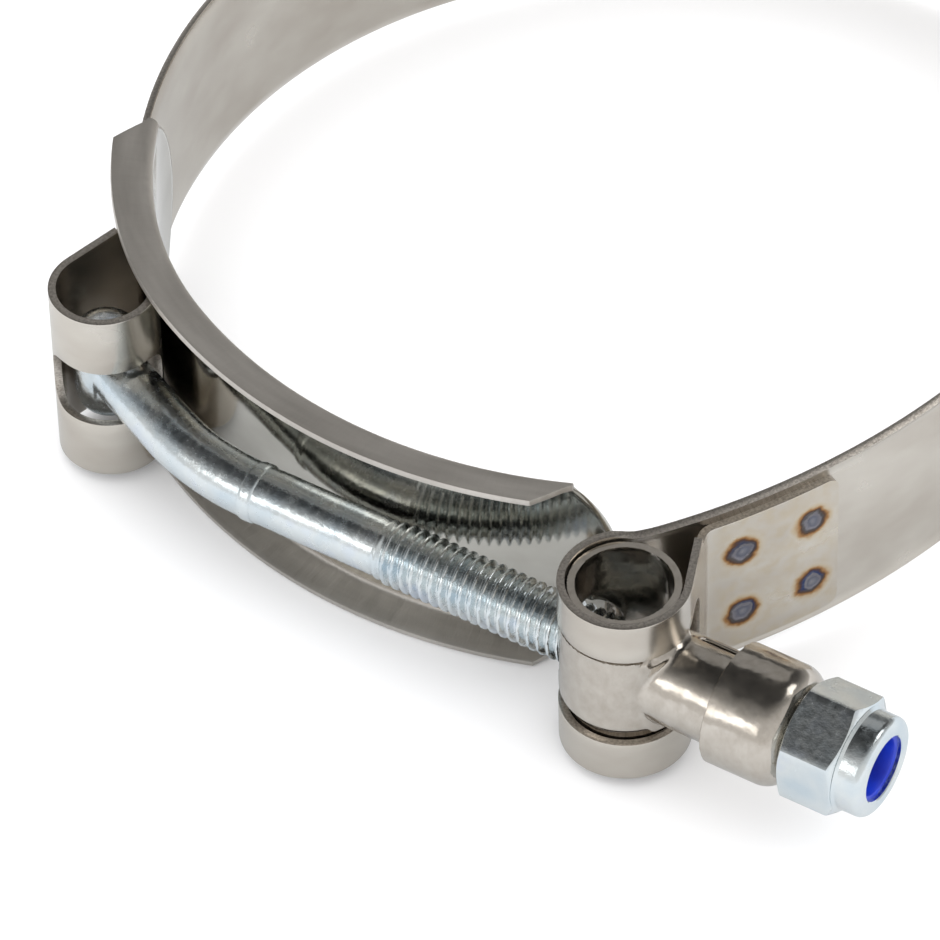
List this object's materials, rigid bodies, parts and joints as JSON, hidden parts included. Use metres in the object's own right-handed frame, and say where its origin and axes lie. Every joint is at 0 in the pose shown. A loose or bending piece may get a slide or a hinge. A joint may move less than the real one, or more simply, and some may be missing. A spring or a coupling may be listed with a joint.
{
  "type": "t-bolt hose clamp",
  "caption": "Steel T-bolt hose clamp: a one-piece band with folded loops, a bridging tongue, a bent T-bolt, a hollow T-piece, a ferrule and a nylon-insert lock nut.",
  "frame": {"origin": "centre of the band's left arc, half way up the band", "axes": "+Z along the hose, up as the clamp lies flat; +X along the straight part of the bolt towards its nut; the gap and the bolt are on the -Y side"},
  "size_m": [0.0969, 0.1023, 0.021],
  "materials": {
    "band_steel": "satin",
    "tongue_steel": "polished",
    "zinc": "zinc plated",
    "t_piece_steel": "bright",
    "nylon": "moulded"
  },
  "bodies": {
    "root": {"band": "band_steel", "tongue": "tongue_steel"},
    "t_bolt": {"t_bolt": "zinc"},
    "t_piece": {"t_piece": "t_piece_steel"},
    "ferrule": {"ferrule": "t_piece_steel"},
    "lock_nut": {"lock_nut": "zinc", "nylon_insert": "nylon"}
  },
  "joints": [
    {"name": "t_bolt_swivel", "type": "hinge", "parent": "root", "child": "t_bolt", "pos_m": [-0.03291, -0.03841, 0], "axis": [0, 0, 1], "range_deg": [-0.3, 0.3]},
    {"name": "t_piece_swivel", "type": "hinge", "parent": "root", "child": "t_piece", "pos_m": [0.02526, -0.04515, 0], "axis": [0, 0, 1], "range_deg": [-0.8, 0.8]},
    {"name": "ferrule_slide", "type": "slide", "parent": "t_bolt", "child": "ferrule", "axis": [1, 0, 0], "range_m": [0, 0.003]},
    {"name": "nut_turn", "type": "hinge", "parent": "ferrule", "child": "lock_nut", "pos_m": [0.04316, -0.04515, 0], "axis": [1, 0, 0], "range_deg": [0, 1080]}
  ],
  "couplings": [
    {"joint": "nut_turn", "follows": "ferrule_slide", "rad_per_m": 6283.2}
  ]
}
